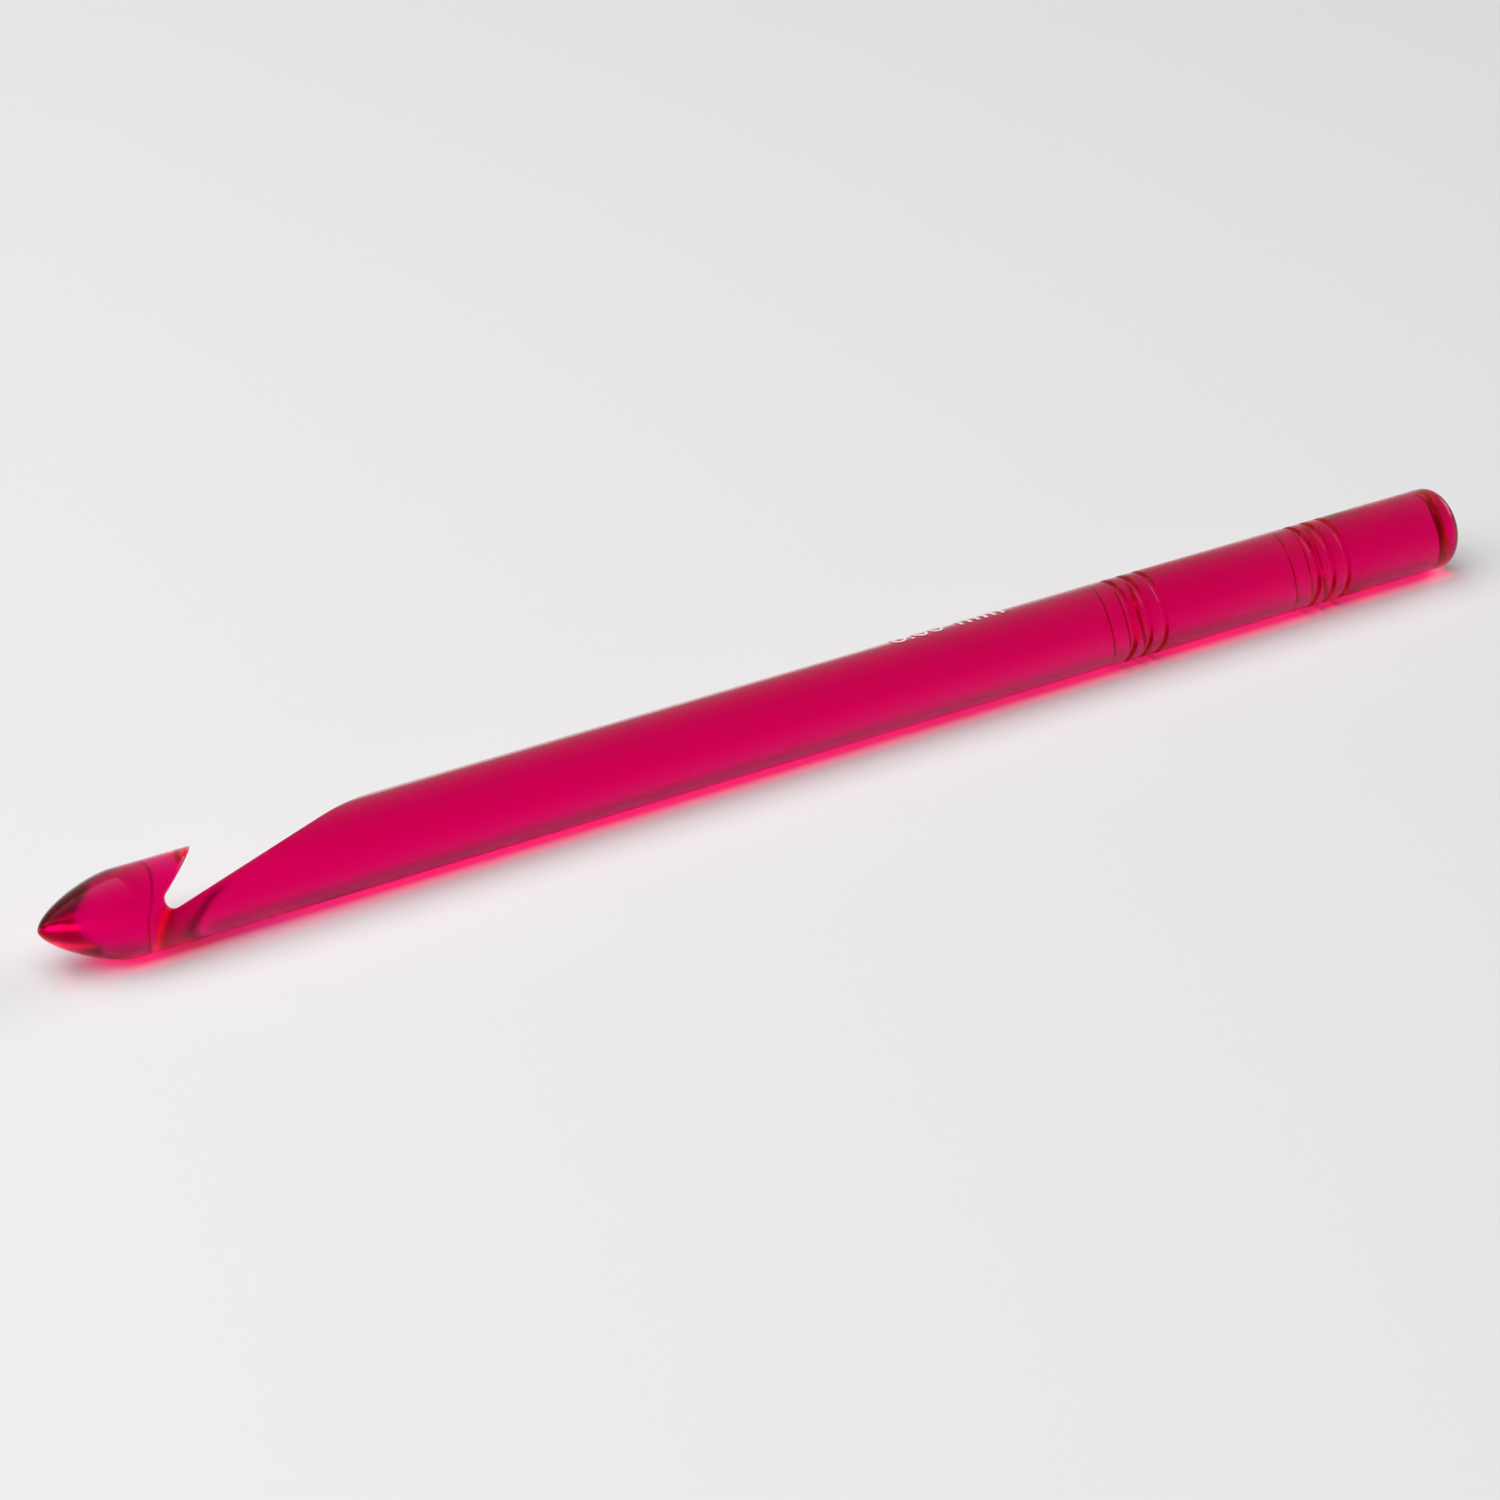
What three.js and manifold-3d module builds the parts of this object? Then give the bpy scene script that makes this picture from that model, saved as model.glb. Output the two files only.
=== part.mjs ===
// Crochet hook in clear tinted acrylic, with a printed size mark.
// Millimetres, +Z up. The hook lies on a flat surface at Z = 0, with its head towards -X,
// its handle end towards +X and its mouth turned up and back, towards +Y.

import * as THREE from 'three';
import { mergeVertices } from 'three/addons/utils/BufferGeometryUtils.js';
import { TessellateModifier } from 'three/addons/modifiers/TessellateModifier.js';
import Module from 'manifold-3d';

const wasm = await Module();
wasm.setup();

// Rod: one straight round bar, whose diameter is the hook's size.
const hookLength = 150;
const shaftDiameter = 8;
const bodyFacets = 32;

// Nose: a blunt point in front of the lip, a little nearer the mouth side than the rod's axis.
const noseLength = 7.5;
const noseRounding = 1.33;
const noseFullness = 1.55;
const noseTipOffset = 0.5;
const noseRings = 12;

// Mouth: an undercut throat behind the lip, and a ramp that climbs back to the shaft.
const mouthRoll = 39;
const lipReach = 14.95;
const lipTipRadius = 0.15;
const lipFaceAngle = 39.3;
const throatRadius = 0.82;
const throatDepth = 5.28;
const rampAngle = 15.2;
const rampBlendRadius = 29;
const mouthArcSegments = 12;

// Decorative grooves: two bands of turned rings near the handle end.
const bandCentresFromEnd = [37.7, 16.2];
const groovesPerBand = 3;
const groovePitch = 1.8;
const grooveWidth = 0.9;
const grooveDepth = 0.25;
const grooveSegments = 6;

// Handle end: a shallow dome with a rounded rim.
const endDomeRadius = 10.8;
const endRimRadius = 1.4;
const endRimSegments = 5;
const endDomeSegments = 4;

// Size mark: the hook's diameter, "8.00 mm", printed round the top of the rod.
const markCentreFromEnd = 57.45;
const markTurn = 23.4;
const markHeight = 2.15;
const markStroke = 0.28;
const markDigitWidth = 1.44;
const markDigitPitch = 1.67;
const markPointPitch = 1.22;
const markWordGap = 3.4;
const markLetterHeight = 1.56;
const markLegPitch = 0.93;
const markLetterPitch = 2.72;
const markCurveSegments = 10;
const eightLowerShare = 0.54;
const eightUpperWidth = 0.9 * markDigitWidth;
const inkThickness = 0.05;
const inkClearance = 0.02;
const inkFacetLength = 0.35;
const inkFacetRounds = 12;

// Sizes that follow from the ones above.
const shaftRadius = shaftDiameter / 2;
const facetRatio = 1 / Math.cos(Math.PI / bodyFacets);
const cornerRadius = shaftRadius * facetRatio;
const degree = Math.PI / 180;
const mergeDistance = 1e-5;

const acrylic = new THREE.MeshStandardMaterial({
  color: 0xcc0055, roughness: 0.05, metalness: 0, transparent: true, opacity: 0.85,
});
const whiteInk = new THREE.MeshStandardMaterial({ color: 0xf2eef0, roughness: 0.6, metalness: 0 });

// A solid for cutting and joining, from any closed three.js geometry.
function toSolid(geometry) {
  const plain = geometry.clone();
  plain.deleteAttribute('normal');
  plain.deleteAttribute('uv');
  const merged = mergeVertices(plain, mergeDistance);
  const index = Array.from(merged.index.array);
  const kept = [];
  for (let i = 0; i < index.length; i += 3) {
    const [a, b, c] = index.slice(i, i + 3);
    if (a !== b && b !== c && c !== a) kept.push(a, b, c);
  }
  const vertProperties = new Float32Array(merged.attributes.position.array);
  const triVerts = new Uint32Array(kept);
  return new wasm.Manifold(new wasm.Mesh({ numProp: 3, vertProperties, triVerts }));
}

function toGeometry(solid) {
  const mesh = solid.getMesh();
  const geometry = new THREE.BufferGeometry();
  geometry.setAttribute('position', new THREE.BufferAttribute(mesh.vertProperties, 3));
  geometry.setIndex(new THREE.BufferAttribute(mesh.triVerts, 1));
  geometry.computeVertexNormals();
  return geometry;
}

// Points on an arc about (x, r), from one angle to another, both in radians.
function arcPoints(x, r, radius, from, to, segments) {
  const points = [];
  for (let i = 0; i <= segments; i += 1) {
    const angle = from + (to - from) * i / segments;
    points.push(new THREE.Vector2(x + radius * Math.cos(angle), r + radius * Math.sin(angle)));
  }
  return points;
}

// The profiles below hold (distance from the nose, distance from the axis) pairs.

function noseProfile() {
  const points = [];
  for (let i = 0; i <= noseRings; i += 1) {
    const x = noseLength * (i / noseRings) ** 2;
    const swell = 1 - (1 - x / noseLength) ** noseRounding;
    points.push(new THREE.Vector2(x, shaftRadius * swell ** (1 / noseFullness)));
  }
  return points;
}

function grooveProfile(centre) {
  const points = [];
  for (let i = 0; i <= grooveSegments; i += 1) {
    const across = i / grooveSegments;
    const depth = grooveDepth * Math.sin(Math.PI * across);
    points.push(new THREE.Vector2(centre + grooveWidth * (across - 0.5), shaftRadius - depth));
  }
  return points;
}

function bandProfile(centreFromEnd) {
  const first = hookLength - centreFromEnd - groovePitch * (groovesPerBand - 1) / 2;
  const points = [];
  for (let i = 0; i < groovesPerBand; i += 1) points.push(...grooveProfile(first + groovePitch * i));
  return points;
}

function endProfile() {
  const domeCentre = hookLength - endDomeRadius;
  const rimHeight = shaftRadius - endRimRadius;
  const rimReach = Math.sqrt((endDomeRadius - endRimRadius) ** 2 - rimHeight ** 2);
  const rimCentre = domeCentre + rimReach;
  const meeting = Math.atan2(rimHeight, rimReach);
  const rim = arcPoints(rimCentre, rimHeight, endRimRadius, Math.PI / 2, meeting, endRimSegments);
  const dome = arcPoints(domeCentre, 0, endDomeRadius, meeting, 0, endDomeSegments).slice(1);
  dome.at(-1).y = 0;
  return [...rim, ...dome];
}

// The whole rod without its mouth: turned about X, with flat facets that touch the true round bar
// and one of them underneath. The nose is then leaned towards the mouth.
function rodGeometry() {
  const profile = [...noseProfile(), ...bandCentresFromEnd.flatMap(bandProfile), ...endProfile()];
  const turned = profile.map((p) => new THREE.Vector2(p.y * facetRatio, p.x));
  const geometry = new THREE.LatheGeometry(turned, bodyFacets, Math.PI / bodyFacets);
  geometry.rotateZ(-Math.PI / 2);
  const position = geometry.attributes.position;
  for (let i = 0; i < position.count; i += 1) {
    const lean = noseTipOffset * Math.max(0, 1 - position.getX(i) / noseLength);
    position.setY(i, position.getY(i) + lean * Math.sin(mouthRoll * degree));
    position.setZ(i, position.getZ(i) + lean * Math.cos(mouthRoll * degree));
  }
  return geometry;
}

// The space that the mouth takes out of the rod, drawn from the side with the mouth up:
// down the lip's face, round the throat, up the ramp and out over a gentle curve.
function mouthShape() {
  const face = lipFaceAngle * degree;
  const ramp = rampAngle * degree;
  const clear = 2 * shaftRadius;
  const tip = new THREE.Vector2(lipReach - lipTipRadius, shaftRadius - lipTipRadius);
  const throatY = shaftRadius - throatDepth + throatRadius;
  const drop = (tip.y - throatY) * Math.cos(face);
  const throatX = tip.x + (lipTipRadius + throatRadius - drop) / Math.sin(face);
  const floorX = throatX + throatRadius * Math.sin(ramp);
  const floorY = throatY - throatRadius * Math.cos(ramp);
  const crestY = cornerRadius - rampBlendRadius;
  const crestX = floorX + (rampBlendRadius + (crestY - floorY) * Math.cos(ramp)) / Math.sin(ramp);

  const shape = new THREE.Shape();
  shape.moveTo(tip.x, cornerRadius + clear);
  shape.lineTo(tip.x, shaftRadius);
  shape.absarc(tip.x, tip.y, lipTipRadius, Math.PI / 2, face - Math.PI / 2, true);
  shape.absarc(throatX, throatY, throatRadius, face + Math.PI / 2, ramp + 1.5 * Math.PI, false);
  shape.absarc(crestX, crestY, rampBlendRadius, ramp + Math.PI / 2, Math.PI / 2, true);
  shape.lineTo(crestX, cornerRadius + clear);
  shape.closePath();
  return shape;
}

function mouthCutter() {
  const width = 4 * shaftRadius;
  const geometry = new THREE.ExtrudeGeometry(mouthShape(), {
    depth: width, bevelEnabled: false, curveSegments: mouthArcSegments,
  });
  geometry.translate(0, 0, -width / 2);
  geometry.rotateX(Math.PI / 2 - mouthRoll * degree);
  return geometry;
}

function makeBody() {
  const solid = toSolid(rodGeometry()).subtract(toSolid(mouthCutter()));
  const body = new THREE.Mesh(toGeometry(solid), acrylic);
  body.name = 'hook_body';
  return body;
}

// Flat glyph solids. X runs along the rod, Y up the glyph from the line it stands on, Z is the ink.

function inkSolid(shape) {
  return toSolid(new THREE.ExtrudeGeometry(shape, {
    depth: inkThickness, bevelEnabled: false, curveSegments: markCurveSegments,
  }));
}

function ovalRing(centreY, width, height) {
  const shape = new THREE.Shape();
  shape.absellipse(0, centreY, width / 2, height / 2, 0, 2 * Math.PI, false);
  const counter = new THREE.Path();
  counter.absellipse(0, centreY, width / 2 - markStroke, height / 2 - markStroke, 0, 2 * Math.PI, false);
  shape.holes.push(counter);
  return inkSolid(shape);
}

function zeroGlyph() {
  return ovalRing(markHeight / 2, markDigitWidth, markHeight);
}

// Two ovals that share one stroke where they meet, the upper one a little smaller.
function eightGlyph() {
  const overlap = markStroke / 2;
  const lowerHeight = eightLowerShare * markHeight + overlap;
  const upperHeight = (1 - eightLowerShare) * markHeight + overlap;
  const lower = ovalRing(lowerHeight / 2, markDigitWidth, lowerHeight);
  const upper = ovalRing(markHeight - upperHeight / 2, eightUpperWidth, upperHeight);
  return lower.add(upper);
}

function pointGlyph() {
  const geometry = new THREE.BoxGeometry(markStroke, markStroke, inkThickness);
  geometry.translate(0, markStroke / 2, inkThickness / 2);
  return toSolid(geometry);
}

// An arch on two legs, with the middle of its left leg at X = left.
function letterArch(left) {
  const outer = (markLegPitch + markStroke) / 2;
  const inner = (markLegPitch - markStroke) / 2;
  const middle = left + markLegPitch / 2;
  const spring = markLetterHeight - outer;
  const shape = new THREE.Shape();
  shape.moveTo(middle - outer, 0);
  shape.absarc(middle, spring, outer, Math.PI, 0, true);
  shape.lineTo(middle + outer, 0);
  shape.lineTo(middle + inner, 0);
  shape.absarc(middle, spring, inner, 0, Math.PI, false);
  shape.lineTo(middle - inner, 0);
  shape.closePath();
  return inkSolid(shape);
}

function letterGlyph() {
  const stem = new THREE.BoxGeometry(markStroke, markLetterHeight, inkThickness);
  stem.translate(-markLegPitch, markLetterHeight / 2, inkThickness / 2);
  return letterArch(-markLegPitch).add(letterArch(0)).add(toSolid(stem));
}

// Wraps a flat glyph round the rod, so that it stands upright seen from -Y.
function wrapRoundRod(geometry) {
  const fine = new TessellateModifier(inkFacetLength, inkFacetRounds).modify(geometry.toNonIndexed());
  const wrapped = mergeVertices(fine, mergeDistance);
  const position = wrapped.attributes.position;
  for (let i = 0; i < position.count; i += 1) {
    const turn = (position.getY(i) - markHeight / 2) / shaftRadius;
    const radius = cornerRadius + inkClearance + position.getZ(i);
    position.setY(i, radius * Math.sin(turn));
    position.setZ(i, radius * Math.cos(turn));
  }
  return wrapped;
}

function makeGlyph(name, solid, x) {
  const geometry = toGeometry(solid);
  geometry.deleteAttribute('normal');
  const wrapped = wrapRoundRod(geometry);
  wrapped.computeVertexNormals();
  const glyph = new THREE.Mesh(wrapped, whiteInk);
  glyph.name = name;
  glyph.position.x = x;
  return glyph;
}

function makeSizeMark() {
  const firstZero = 2 * markPointPitch;
  const secondZero = firstZero + markDigitPitch;
  const firstLetter = secondZero + markWordGap;
  const secondLetter = firstLetter + markLetterPitch;
  const mark = new THREE.Group();
  mark.add(makeGlyph('size_mark_eight', eightGlyph(), 0));
  mark.add(makeGlyph('size_mark_point', pointGlyph(), markPointPitch));
  mark.add(makeGlyph('size_mark_zero_1', zeroGlyph(), firstZero));
  mark.add(makeGlyph('size_mark_zero_2', zeroGlyph(), secondZero));
  mark.add(makeGlyph('size_mark_letter_m_1', letterGlyph(), firstLetter));
  mark.add(makeGlyph('size_mark_letter_m_2', letterGlyph(), secondLetter));
  mark.position.x = hookLength - markCentreFromEnd - secondLetter / 2;
  mark.rotation.x = -markTurn * degree;
  return mark;
}

const hook = new THREE.Group();
hook.add(makeBody());
hook.add(makeSizeMark());
hook.position.set(-hookLength / 2, 0, shaftRadius);

const part = new THREE.Group();
part.add(hook);
part.updateMatrixWorld(true);

export default part;
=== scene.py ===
"""A crochet hook turned and cut from clear tinted acrylic, lying on a pale table.

Metres, +Z up. The rod runs along +X from the nose to the handle end, and rests on the table
at Z = 0.
"""

import math

import bmesh
import bpy
import numpy as np
from mathutils import Matrix, Vector


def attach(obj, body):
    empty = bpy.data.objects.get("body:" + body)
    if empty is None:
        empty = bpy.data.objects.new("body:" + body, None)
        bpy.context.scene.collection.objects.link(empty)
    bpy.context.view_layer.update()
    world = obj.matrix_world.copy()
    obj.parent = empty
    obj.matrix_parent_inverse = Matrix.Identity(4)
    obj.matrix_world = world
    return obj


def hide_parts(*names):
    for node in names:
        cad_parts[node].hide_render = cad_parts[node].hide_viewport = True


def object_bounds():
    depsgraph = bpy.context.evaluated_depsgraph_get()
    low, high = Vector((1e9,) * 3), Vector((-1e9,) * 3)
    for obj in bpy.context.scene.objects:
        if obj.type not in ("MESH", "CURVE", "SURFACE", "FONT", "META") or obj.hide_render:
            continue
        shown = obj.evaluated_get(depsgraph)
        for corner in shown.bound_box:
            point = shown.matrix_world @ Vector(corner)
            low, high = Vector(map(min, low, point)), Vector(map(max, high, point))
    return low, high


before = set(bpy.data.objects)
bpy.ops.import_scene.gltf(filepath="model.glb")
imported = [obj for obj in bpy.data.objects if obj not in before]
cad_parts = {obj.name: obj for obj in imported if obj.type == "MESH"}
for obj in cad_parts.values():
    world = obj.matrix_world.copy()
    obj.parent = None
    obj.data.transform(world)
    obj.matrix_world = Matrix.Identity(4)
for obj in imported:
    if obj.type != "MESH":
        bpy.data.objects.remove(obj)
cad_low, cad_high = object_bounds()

MM = 0.001
QUARTER = math.pi / 2

# Rod. All lengths are in millimetres, as in the part's own source, unless they say metres.
hook_length = 150.0
shaft_radius = 4.0
facets_round = 256
nose_length = 7.5
nose_rounding = 1.33
nose_fullness = 1.55
nose_tip_offset = 0.5
nose_stations = 61
smallest_radius = 1e-6
weld_distance = 1e-4

# Mouth.
mouth_roll = math.radians(39)
lip_reach = 14.95
lip_tip_radius = 0.15
lip_face = math.radians(39.3)
throat_radius = 0.82
throat_depth = 5.28
ramp = math.radians(15.2)
ramp_blend_radius = 29.0
crest_lift = 2e-4
lip_tip_points = 12
throat_points = 33
crest_points = 33
sharp_from = math.radians(25)

# Turned grip rings.
band_centres_from_end = (37.7, 16.2)
grooves_per_band = 3
groove_pitch = 1.8
groove_width = 0.8
groove_depth = 0.25
groove_stations = 25

# Handle end.
end_dome_radius = 10.8
end_rim_radius = 1.4
rim_stations = 25
dome_stations = 33
dome_start = 1e-5

# Acrylic. Part of its colour is given to its surface and the rest to its depth.
acrylic_tint = (0.83, 0.0, 0.25, 1.0)
acrylic_depth_tint = (0.9972, 0.0, 0.9791, 1.0)
acrylic_density = 5000.0
acrylic_mirror_tint = (0.4, 0.0, 0.12, 1.0)
acrylic_roughness = 0.08
acrylic_ior = 1.49
edge_easing = 0.8
eased_length = 60.0
easing_samples = 8
wave_stretch = (180.0, 420.0, 420.0)
wave_detail = 2.0
wave_height = 0.02
wave_strength = 0.08
tool_marks_scale = 9000.0
tool_marks_detail = 2.0
tool_marks_height = 0.03
tool_marks_width = 0.7
tool_marks_strength = 0.5

# Printed ink.
thin_ink = (0.80, 0.60, 0.68, 1.0)
thin_ink_up_to = 0.35
full_ink = (0.90, 0.86, 0.88, 1.0)
full_ink_from = 0.62
ink_roughness = 0.55
ink_grain_scale = 4500.0
ink_grain_detail = 3.0
ink_grain_height = 0.01
ink_grain_strength = 0.3

# Table and light, in metres and watts.
table_tint = (0.80, 0.80, 0.808, 1.0)
table_roughness = 0.9
table_shine = 0.1
table_reach = 3.0
table_drop = 1e-5
lamp_height = 0.8
lamp_depth = 1.26
lamp_setback = 0.07
left_lamp_power = 17.0
right_lamp_power = 34.0
room_level = 0.05
surround_level = 0.5
horizon_level = 0.78
horizon_fade = 0.2
most_bounces = 40
most_crossings = 32

# Camera, in metres and millimetres of lens.
view_azimuth = math.radians(-31.562)
view_elevation = math.radians(28.926)
view_distance = 0.46523
aim_towards_nose = 0.00657
aim_towards_front = 0.00345
lens_length = 123.8
sensor_width = 36.0


# ---------------------------------------------------------------- node trees

class Number:
    """A number in a node tree, written in plain arithmetic."""

    def __init__(self, tree, socket):
        self.tree, self.socket = tree, socket

    def math(self, operation, *others):
        node = self.tree.nodes.new("ShaderNodeMath")
        node.operation = operation
        for place, value in enumerate((self, *others)):
            if isinstance(value, Number):
                self.tree.links.new(value.socket, node.inputs[place])
            else:
                node.inputs[place].default_value = value
        return Number(self.tree, node.outputs[0])

    def __add__(self, other): return self.math("ADD", other)
    def __sub__(self, other): return self.math("SUBTRACT", other)
    def __mul__(self, other): return self.math("MULTIPLY", other)
    def __truediv__(self, other): return self.math("DIVIDE", other)
    def __pow__(self, other): return self.math("POWER", other)
    def smaller(self, other): return self.math("MINIMUM", other)
    def larger(self, other): return self.math("MAXIMUM", other)
    def root(self): return self.larger(0.0).math("SQRT")
    def size(self): return self.math("ABSOLUTE")
    def past(self, other): return self.math("GREATER_THAN", other)
    def held(self): return self.smaller(1.0).larger(0.0)
    def short_of_one(self): return self * -1.0 + 1.0
    def rounded(self): return self.math("ROUND")
    def sine(self): return self.math("SINE")
    def cosine(self): return self.math("COSINE")


def new_tree(name, inputs):
    """A geometry tree with one geometry in and out, and one named input per size."""
    tree = bpy.data.node_groups.new(name, "GeometryNodeTree")
    face = tree.interface
    face.new_socket("Geometry", in_out="OUTPUT", socket_type="NodeSocketGeometry")
    face.new_socket("Geometry", in_out="INPUT", socket_type="NodeSocketGeometry")
    for label, kind in inputs.items():
        face.new_socket(label, in_out="INPUT", socket_type="NodeSocket" + kind)
    entry = tree.nodes.new("NodeGroupInput")
    leave = tree.nodes.new("NodeGroupOutput")
    return tree, entry, leave


def run_tree(obj, tree, values, name):
    """Runs a tree on an object and gives the result back as a plain mesh object."""
    modifier = obj.modifiers.new(tree.name, "NODES")
    modifier.node_group = tree
    sockets = {s.name: s.identifier for s in tree.interface.items_tree if s.in_out == "INPUT"}
    for label, value in values.items():
        modifier[sockets[label]] = value
    mesh = finished_mesh(obj)
    obj.modifiers.remove(modifier)
    result = put(name, mesh)
    bpy.data.objects.remove(obj)
    return result


def finished_mesh(obj):
    """A plain mesh of an object with its modifiers applied."""
    graph = bpy.context.evaluated_depsgraph_get()
    return bpy.data.meshes.new_from_object(obj.evaluated_get(graph))


def put(name, mesh):
    """Puts a mesh into the scene at the origin, and gives both the same name."""
    obj = bpy.data.objects.new(name, mesh)
    mesh.name = name
    bpy.context.scene.collection.objects.link(obj)
    return obj


def parts_of(tree, vector):
    """The three numbers of a vector."""
    parts = tree.nodes.new("ShaderNodeSeparateXYZ")
    tree.links.new(vector, parts.inputs[0])
    return [Number(tree, socket) for socket in parts.outputs]


def off_groove(x, band_centre, pitch):
    """Distance along the rod from the middle of the nearest of a band's three grooves."""
    local = x - band_centre
    nearest = (local / pitch).rounded().larger(-1.0).smaller(1.0)
    return (local - nearest * pitch).size()


# ---------------------------------------------------------------- rod

def stations():
    """Distances from the nose, in millimetres: close together where the outline turns."""
    found = list(nose_length * (np.arange(nose_stations) / (nose_stations - 1)) ** 2)
    steps = np.arange(groove_stations) / (groove_stations - 1) - 0.5
    for centre in band_centres_from_end:
        for groove in range(grooves_per_band):
            place = groove_pitch * (groove - (grooves_per_band - 1) / 2)
            found += list(hook_length - centre + place + groove_width * steps)
    rim_height = shaft_radius - end_rim_radius
    rim_reach = math.sqrt((end_dome_radius - end_rim_radius) ** 2 - rim_height ** 2)
    rim_centre = hook_length - end_dome_radius + rim_reach
    meeting = math.atan2(rim_height, rim_reach)
    for turn in np.linspace(QUARTER, meeting, rim_stations):
        found.append(rim_centre + end_rim_radius * math.cos(turn))
    for turn in np.linspace(meeting, 0, dome_stations)[1:]:
        found.append(hook_length - end_dome_radius * (1 - math.cos(turn)))
    return sorted(set(round(float(x), 6) for x in found))


def rod_sizes():
    """What the rod's tree is given: every named input and its value."""
    return {
        "Facets Round": facets_round, "Length": hook_length, "Radius": shaft_radius,
        "Nose Length": nose_length, "Nose Rounding": nose_rounding, "Nose Fullness": nose_fullness,
        "Tip Offset": nose_tip_offset, "Mouth Roll": mouth_roll,
        "First Band": band_centres_from_end[0], "Second Band": band_centres_from_end[1],
        "Groove Pitch": groove_pitch, "Groove Width": groove_width, "Groove Depth": groove_depth,
        "Dome Radius": end_dome_radius, "Rim Radius": end_rim_radius,
        "Finish": clear_magenta_acrylic(),
    }


def rod_outline(x, size):
    """The rod's radius at each distance from the nose."""
    radius = size("Radius")

    # Nose: full radius from the end of the nose on.
    back = (x / size("Nose Length")).larger(0.0).smaller(1.0).short_of_one()
    swell = (back ** size("Nose Rounding")).short_of_one()
    nose = radius * (swell.larger(0.0) ** (size("Nose Fullness") ** -1.0))

    # Grooves: each is a smooth hollow.
    cut = None
    for label in ("First Band", "Second Band"):
        off = off_groove(x, size("Length") - size(label), size("Groove Pitch"))
        across = off / (size("Groove Width") * 0.5)
        hollow = size("Groove Depth") * 0.5 * ((across.smaller(1.0) * math.pi).cosine() + 1.0)
        cut = hollow if cut is None else cut + hollow

    # Handle end: a rounded rim, then a shallow dome.
    rim_height = radius - size("Rim Radius")
    gap = size("Dome Radius") - size("Rim Radius")
    reach = (gap * gap - rim_height * rim_height).root()
    dome_centre = size("Length") - size("Dome Radius")
    rim_centre = dome_centre + reach
    meeting = rim_centre + size("Rim Radius") * reach / gap
    on_rim = x - rim_centre
    on_dome = x - dome_centre
    rim = rim_height + (size("Rim Radius") * size("Rim Radius") - on_rim * on_rim).root()
    dome = (size("Dome Radius") * size("Dome Radius") - on_dome * on_dome).root()
    in_rim = x.past(rim_centre)
    in_dome = x.past(meeting + dome_start)
    end = rim * in_rim + radius * in_rim.short_of_one()
    end = dome * in_dome + end * in_dome.short_of_one()
    return (nose.smaller(end) - cut).larger(smallest_radius)


def rod_tree(sizes):
    """Turns the rod: each station becomes a ring whose radius follows the rod's outline."""
    kinds = {label: "Float" for label in sizes} | {"Facets Round": "Int", "Finish": "Material"}
    tree, entry, leave = new_tree("turned_rod", kinds)
    node, link = tree.nodes.new, tree.links.new

    def size(label):
        return Number(tree, entry.outputs[label])

    x = parts_of(tree, node("GeometryNodeInputPosition").outputs[0])[0]
    outline = rod_outline(x, size).socket
    to_curve = node("GeometryNodeMeshToCurve")
    link(entry.outputs["Geometry"], to_curve.inputs["Mesh"])
    ring = node("GeometryNodeCurvePrimitiveCircle")
    ring.mode = "RADIUS"
    ring.inputs["Radius"].default_value = 1.0
    link(entry.outputs["Facets Round"], ring.inputs["Resolution"])
    skin = node("GeometryNodeCurveToMesh")
    link(to_curve.outputs[0], skin.inputs["Curve"])
    link(ring.outputs[0], skin.inputs["Profile Curve"])
    link(outline, skin.inputs["Scale"])
    skin.inputs["Fill Caps"].default_value = True
    weld = node("GeometryNodeMergeByDistance")
    link(skin.outputs[0], weld.inputs["Geometry"])
    weld.inputs["Distance"].default_value = weld_distance

    # The nose leans a little towards the mouth.
    lean = size("Tip Offset") * (x / size("Nose Length")).short_of_one().larger(0.0)
    shift = node("ShaderNodeCombineXYZ")
    link((lean * size("Mouth Roll").sine()).socket, shift.inputs[1])
    link((lean * size("Mouth Roll").cosine()).socket, shift.inputs[2])
    move = node("GeometryNodeSetPosition")
    link(weld.outputs[0], move.inputs["Geometry"])
    link(shift.outputs[0], move.inputs["Offset"])

    solid = node("GeometryNodeRealizeInstances")
    link(move.outputs[0], solid.inputs["Geometry"])
    coat = node("GeometryNodeSetMaterial")
    link(solid.outputs[0], coat.inputs["Geometry"])
    link(entry.outputs["Finish"], coat.inputs["Material"])
    link(coat.outputs[0], leave.inputs[0])
    return tree


def arc(x, y, radius, start, stop, count):
    """Points on an arc round (x, y), from one angle to another."""
    turns = np.linspace(start, stop, count)
    return [(x + radius * math.cos(turn), y + radius * math.sin(turn)) for turn in turns]


def mouth_outline():
    """Side view of the space that the mouth takes out of the rod.

    Each point is its distance from the nose and its height over the rod's axis.
    """
    tip_x, tip_y = lip_reach - lip_tip_radius, shaft_radius - lip_tip_radius
    throat_y = shaft_radius - throat_depth + throat_radius
    drop = (tip_y - throat_y) * math.cos(lip_face)
    throat_x = tip_x + (lip_tip_radius + throat_radius - drop) / math.sin(lip_face)
    floor_x = throat_x + throat_radius * math.sin(ramp)
    floor_y = throat_y - throat_radius * math.cos(ramp)
    crest_y = shaft_radius - ramp_blend_radius
    rise = (crest_y - floor_y) * math.cos(ramp)
    crest_x = floor_x + (ramp_blend_radius + rise) / math.sin(ramp)
    clear = shaft_radius * 3
    points = [(tip_x, clear)]
    points += arc(tip_x, tip_y, lip_tip_radius, QUARTER, lip_face - QUARTER, lip_tip_points)
    points += arc(throat_x, throat_y, throat_radius,
                  lip_face + QUARTER, ramp + 3 * QUARTER, throat_points)
    points += arc(crest_x, crest_y + crest_lift, ramp_blend_radius,
                  ramp + QUARTER, QUARTER, crest_points)
    points += [(crest_x, clear)]
    return points


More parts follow.
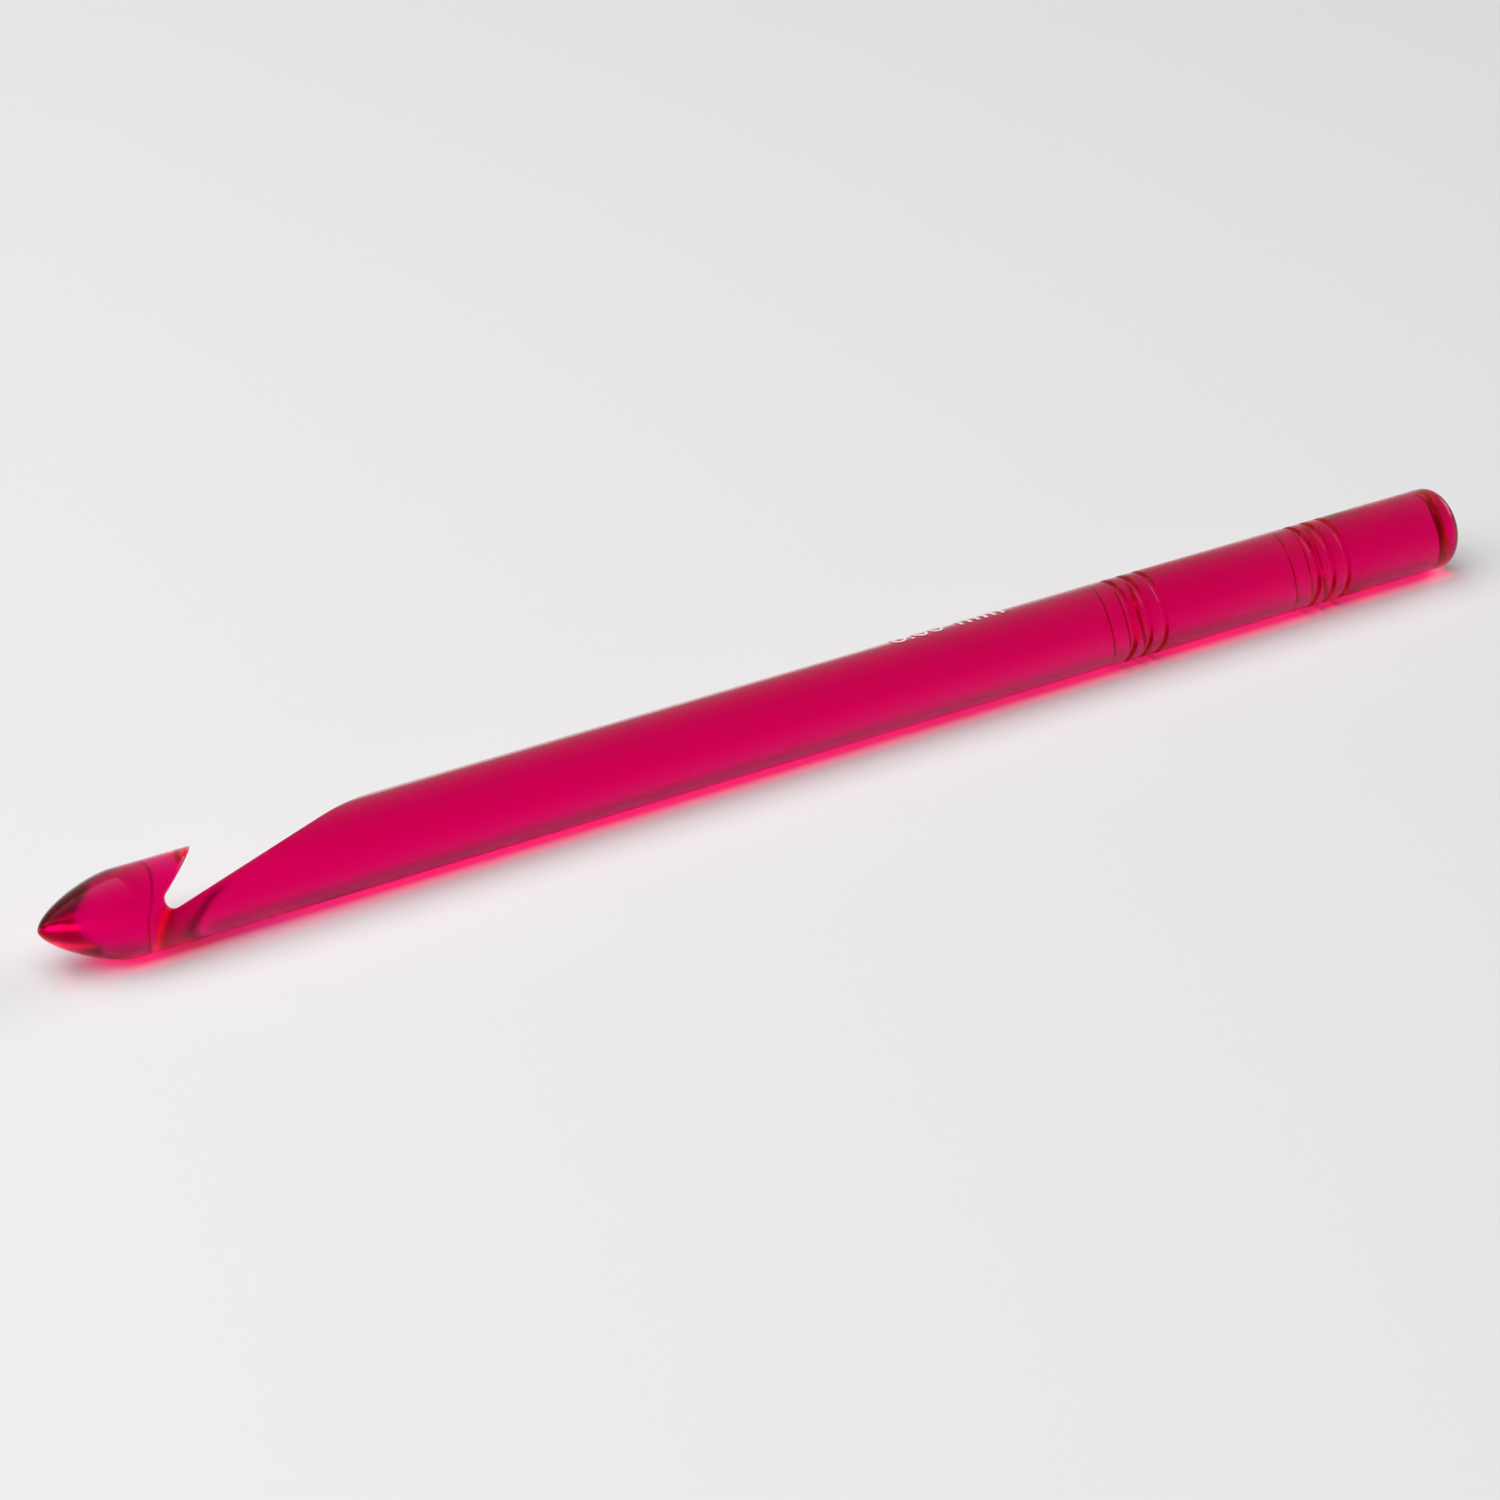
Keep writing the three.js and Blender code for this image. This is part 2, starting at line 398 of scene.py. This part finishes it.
def mouth_cutter():
    """The mouth's outline drawn right across the rod and rolled to its place."""
    width = shaft_radius * 2
    mesh = bmesh.new()
    turn = Matrix.Rotation(QUARTER - mouth_roll, 4, "X")
    near, far = [[mesh.verts.new(turn @ Vector((x, y, side))) for x, y in mouth_outline()]
                 for side in (-width, width)]
    for i in range(len(near)):
        j = (i + 1) % len(near)
        mesh.faces.new((near[i], near[j], far[j], far[i]))
    mesh.faces.new(reversed(near))
    mesh.faces.new(far)
    bmesh.ops.recalc_face_normals(mesh, faces=mesh.faces)
    data = bpy.data.meshes.new("mouth_cutter")
    mesh.to_mesh(data)
    mesh.free()
    return put("mouth_cutter", data)


def face_outwards(data):
    """Turns every face of a closed mesh outwards."""
    mesh = bmesh.new()
    mesh.from_mesh(data)
    bmesh.ops.recalc_face_normals(mesh, faces=mesh.faces)
    mesh.to_mesh(data)
    mesh.free()


def make_hook_body():
    """The turned rod with its mouth cut, moved from the lathe's axis to where the hook lies."""
    line = bpy.data.meshes.new("rod_stations")
    spots = stations()
    line.from_pydata([(x, 0, 0) for x in spots], [(i, i + 1) for i in range(len(spots) - 1)], [])
    sizes = rod_sizes()
    rod = run_tree(put("rod_stations", line), rod_tree(sizes), sizes, "turned_rod")
    face_outwards(rod.data)
    cutter = mouth_cutter()
    cut = rod.modifiers.new("mouth", "BOOLEAN")
    cut.operation, cut.solver, cut.object = "DIFFERENCE", "EXACT", cutter
    mesh = finished_mesh(rod)
    for obj in (rod, cutter):
        bpy.data.objects.remove(obj)
    to_place = Matrix.Translation((-hook_length / 2 * MM, 0, shaft_radius * MM))
    mesh.transform(to_place @ Matrix.Scale(MM, 4))
    mesh.shade_smooth()
    mesh.set_sharp_from_angle(angle=sharp_from)
    return put("hook_acrylic", mesh)


# ---------------------------------------------------------------- materials

def new_material(name):
    """A material, its node tree and its main shader."""
    material = bpy.data.materials.new(name)
    material.use_nodes = True
    return material, material.node_tree, material.node_tree.nodes["Principled BSDF"]


def object_place(tree):
    """Each point's place on the hook, in metres."""
    return tree.nodes.new("ShaderNodeTexCoord").outputs["Object"]


def grain(tree, place, scale, detail):
    """A soft random pattern: the larger the scale, the finer the grain."""
    noise = tree.nodes.new("ShaderNodeTexNoise")
    noise.inputs["Scale"].default_value = scale
    noise.inputs["Detail"].default_value = detail
    tree.links.new(place, noise.inputs["Vector"])
    return noise.outputs["Fac"]


def relief(tree, pattern, height, normal=None):
    """Raises a surface by a pattern, at most height millimetres, over the relief it has already."""
    bump = tree.nodes.new("ShaderNodeBump")
    bump.inputs["Distance"].default_value = height * MM
    tree.links.new(pattern, bump.inputs["Height"])
    if normal:
        tree.links.new(normal, bump.inputs["Normal"])
    return bump


def clear_magenta_acrylic():
    """Clear acrylic, tinted at its surface and in its depth, and left faintly wavy by polishing."""
    material, tree, shader = new_material("clear_magenta_acrylic")
    shader.inputs["Base Color"].default_value = acrylic_tint
    shader.inputs["Roughness"].default_value = acrylic_roughness
    shader.inputs["IOR"].default_value = acrylic_ior
    shader.inputs["Specular Tint"].default_value = acrylic_mirror_tint
    shader.inputs["Transmission Weight"].default_value = 1.0
    depth = tree.nodes.new("ShaderNodeVolumeAbsorption")
    depth.inputs["Color"].default_value = acrylic_depth_tint
    depth.inputs["Density"].default_value = acrylic_density
    tree.links.new(depth.outputs[0], tree.nodes["Material Output"].inputs["Volume"])
    place = object_place(tree)
    station = parts_of(tree, place)[0] / MM + hook_length / 2

    # Polishing took the sharpness off the mouth's edges. The grooves keep theirs.
    at_mouth = station.past(eased_length).short_of_one()
    ease = tree.nodes.new("ShaderNodeBevel")
    ease.samples = easing_samples
    tree.links.new((at_mouth * (edge_easing * MM)).socket, ease.inputs["Radius"])

    # The faint waves run along the rod.
    stretch = tree.nodes.new("ShaderNodeMapping")
    stretch.inputs["Scale"].default_value = wave_stretch
    tree.links.new(place, stretch.inputs[0])
    pattern = grain(tree, stretch.outputs[0], 1.0, wave_detail)
    waves = relief(tree, pattern, wave_height, ease.outputs[0])
    waves.inputs["Strength"].default_value = wave_strength

    # The grooves were cut, not polished: their floors carry fine tool marks.
    in_groove = None
    for centre in band_centres_from_end:
        off = off_groove(station, hook_length - centre, groove_pitch)
        here = ((off / (tool_marks_width / 2)).short_of_one() * 2.0).held()
        in_groove = here if in_groove is None else in_groove + here
    pattern = grain(tree, place, tool_marks_scale, tool_marks_detail)
    marks = relief(tree, pattern, tool_marks_height, waves.outputs[0])
    tree.links.new((in_groove * tool_marks_strength).socket, marks.inputs["Strength"])
    tree.links.new(marks.outputs[0], shader.inputs["Normal"])
    return material


def printed_white_ink():
    """Thin printed ink, a little uneven where it took less well."""
    material, tree, shader = new_material("printed_white_ink")
    patches = grain(tree, object_place(tree), ink_grain_scale, ink_grain_detail)
    tone = tree.nodes.new("ShaderNodeValToRGB")
    thin, full = tone.color_ramp.elements
    thin.position, thin.color = thin_ink_up_to, thin_ink
    full.position, full.color = full_ink_from, full_ink
    tree.links.new(patches, tone.inputs[0])
    tree.links.new(tone.outputs[0], shader.inputs["Base Color"])
    shader.inputs["Roughness"].default_value = ink_roughness
    bump = relief(tree, patches, ink_grain_height)
    bump.inputs["Strength"].default_value = ink_grain_strength
    tree.links.new(bump.outputs[0], shader.inputs["Normal"])
    return material


def pale_table():
    """A plain matt table top."""
    material, tree, shader = new_material("pale_table")
    shader.inputs["Base Color"].default_value = table_tint
    shader.inputs["Roughness"].default_value = table_roughness
    shader.inputs["Specular IOR Level"].default_value = table_shine
    return material


# ---------------------------------------------------------------- table, light, camera

def make_table():
    """The table top, a hair's breadth under the hook."""
    corners = [(x * table_reach, y * table_reach, -table_drop)
               for x, y in ((-1, -1), (1, -1), (1, 1), (-1, 1))]
    mesh = bpy.data.meshes.new("table_top")
    mesh.from_pydata(corners, [], [(0, 1, 2, 3)])
    mesh.materials.append(pale_table())
    table = put("table_top", mesh)


def soft_lamp(name, left, right, power):
    """A wide diffuser that hangs level over the table and a little behind the hook."""
    lamp = bpy.data.lights.new(name, "AREA")
    lamp.shape, lamp.size, lamp.size_y, lamp.energy = "RECTANGLE", right - left, lamp_depth, power
    obj = bpy.data.objects.new(name, lamp)
    obj.location = ((left + right) / 2, lamp_setback, lamp_height)
    bpy.context.scene.collection.objects.link(obj)


def make_room_light():
    """A dim room that the camera and the acrylic see as pale walls."""
    world = bpy.data.worlds.new("room_light")
    world.use_nodes = True
    tree = world.node_tree
    sky = tree.nodes["Background"]
    sky.inputs["Color"].default_value = (1.0, 1.0, 1.0, 1.0)
    ray = tree.nodes.new("ShaderNodeLightPath").outputs
    seen = Number(tree, ray["Is Camera Ray"]).larger(Number(tree, ray["Is Glossy Ray"]))
    seen = seen.larger(Number(tree, ray["Is Transmission Ray"]))

    # The walls are a little brighter low down, where the pale table runs out.
    way = tree.nodes.new("ShaderNodeTexCoord")
    upward = parts_of(tree, way.outputs["Generated"])[2]
    low = (upward * (-1.0 / horizon_fade) + 1.0).held()
    walls = low * (horizon_level - surround_level) + (surround_level - room_level)
    tree.links.new((seen * walls + room_level).socket, sky.inputs["Strength"])
    bpy.context.scene.world = world


def make_camera():
    """Looks down at the hook from the front left, with its nose nearer than its handle end."""
    data = bpy.data.cameras.new("viewpoint")
    data.sensor_fit, data.sensor_width, data.lens = "HORIZONTAL", sensor_width, lens_length
    data.clip_start, data.clip_end = 0.01, 20.0
    camera = bpy.data.objects.new("viewpoint", data)
    level = math.cos(view_elevation)
    back = Vector((math.sin(view_azimuth) * level, -math.cos(view_azimuth) * level,
                   math.sin(view_elevation)))
    middle = (cad_low + cad_high) / 2
    aim = Vector((middle.x - aim_towards_nose, middle.y - aim_towards_front, shaft_radius * MM))
    camera.location = aim + back * view_distance
    camera.rotation_euler = (QUARTER - view_elevation, 0.0, view_azimuth)
    bpy.context.scene.collection.objects.link(camera)
    bpy.context.scene.camera = camera


# ---------------------------------------------------------------- assembly

body = make_hook_body()
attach(body, "root")
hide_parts("hook_body")

ink = printed_white_ink()
for name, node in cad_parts.items():
    if name.startswith("size_mark"):
        node.data.materials.clear()
        node.data.materials.append(ink)

make_table()
make_room_light()
soft_lamp("left_diffuser", -1.7, 0.15, left_lamp_power)
soft_lamp("right_diffuser", 1.3, 2.8, right_lamp_power)
make_camera()
bpy.context.scene.view_settings.view_transform = "Standard"

# Light crosses the clear rod many times before it comes out.
bpy.context.scene.cycles.blur_glossy = 0.0
bpy.context.scene.cycles.max_bounces = most_bounces
bpy.context.scene.cycles.glossy_bounces = most_crossings
bpy.context.scene.cycles.transmission_bounces = most_crossings
